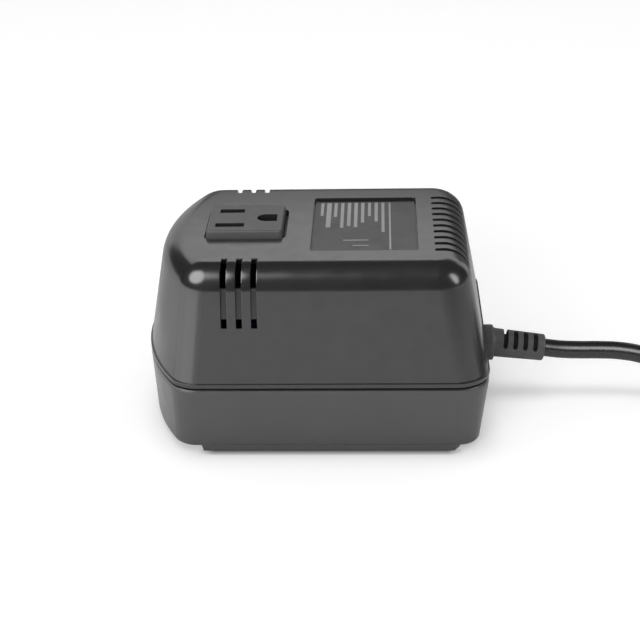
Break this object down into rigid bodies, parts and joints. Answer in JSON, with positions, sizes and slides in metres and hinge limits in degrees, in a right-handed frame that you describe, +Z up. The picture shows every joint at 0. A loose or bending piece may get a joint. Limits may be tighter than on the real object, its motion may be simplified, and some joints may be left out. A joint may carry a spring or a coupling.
{
  "type": "travel voltage converter",
  "caption": "Box-shaped step-down travel converter with an earthed mains socket on top, vent slots, a recessed rating plate and a moulded mains lead with a ribbed strain relief.",
  "frame": {"origin": "under the middle of the case, on the table that the foot rails stand on", "axes": "+X from the socket end to the cord end, +Y to the back, +Z up"},
  "size_m": [0.3445, 0.0973, 0.0658],
  "materials": {
    "case": "satin charcoal moulding",
    "plate": "bare satin plate",
    "socket": "satin charcoal moulding",
    "bridge": "plain moulding",
    "screw_steel": "zinc plated",
    "contact": "plain stamped brass",
    "core": "varnished sheet edges",
    "bobbin": "natural nylon",
    "copper": "enamelled copper",
    "tape": "polyester tape",
    "tinned": "tinned",
    "zinc": "zinc plated sheet",
    "fuse": "plain body",
    "brown_wire": "insulation",
    "blue_wire": "insulation",
    "relief": "soft moulding",
    "cord": "smooth satin sheath",
    "tie": "plain strap",
    "plug": "soft moulding",
    "pin_metal": "nickel plated"
  },
  "bodies": {
    "root": {"base_tray": "case", "top_cover": "case", "rating_plate": "plate", "socket_insert": "socket", "socket_bridge": "bridge", "case_screws": "screw_steel", "bridge_screws": "screw_steel", "frame_screws": "screw_steel", "live_contact": "contact", "neutral_contact": "contact", "earth_contact": "contact", "core_e_stack": "core", "core_i_stack": "core", "coil_bobbin": "bobbin", "primary_winding": "copper", "secondary_winding": "copper", "winding_wrap": "tape", "terminal_tags": "tinned", "core_frame": "zinc", "thermal_fuse": "fuse", "live_in_wire": "brown_wire", "fuse_wire": "brown_wire", "live_out_wire": "brown_wire", "neutral_in_wire": "blue_wire", "neutral_out_wire": "blue_wire", "strain_relief": "relief", "cord_lead": "cord", "cord_coil": "cord", "cord_tail": "cord", "coil_tie": "tie", "plug_body": "plug", "pin_sleeves": "plug", "plug_pins": "pin_metal"}
  },
  "joints": []
}
